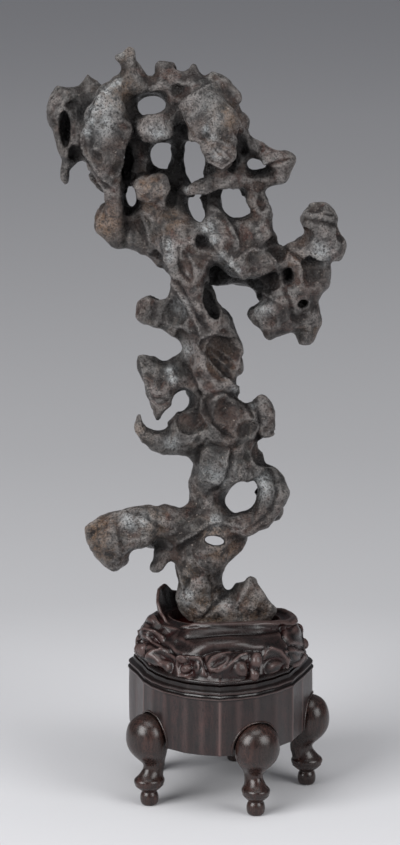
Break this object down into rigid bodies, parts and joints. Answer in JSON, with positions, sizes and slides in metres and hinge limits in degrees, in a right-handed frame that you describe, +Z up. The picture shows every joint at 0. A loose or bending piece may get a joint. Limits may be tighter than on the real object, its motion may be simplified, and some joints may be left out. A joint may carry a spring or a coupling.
{
  "type": "scholars rock",
  "caption": "Tall weathered scholar's rock with holes, spikes and side lumps, standing on one end in a carved dark wood stand with ball-knee legs.",
  "frame": {"origin": "centre of the bounding box's bottom face, on the surface that the feet stand on", "axes": "+Z up, +X to the right of the side seen in the picture, +Y away from that side"},
  "size_m": [0.1876, 0.1378, 0.4852],
  "materials": {
    "rock_stone": "satin",
    "stand_wood": "gloss"
  },
  "bodies": {
    "root": {"rock": "rock_stone", "stand_seat": "stand_wood", "stand_drum": "stand_wood", "leg_front": "stand_wood", "leg_right": "stand_wood", "leg_back_right": "stand_wood", "leg_back_left": "stand_wood", "leg_left": "stand_wood"}
  },
  "joints": []
}
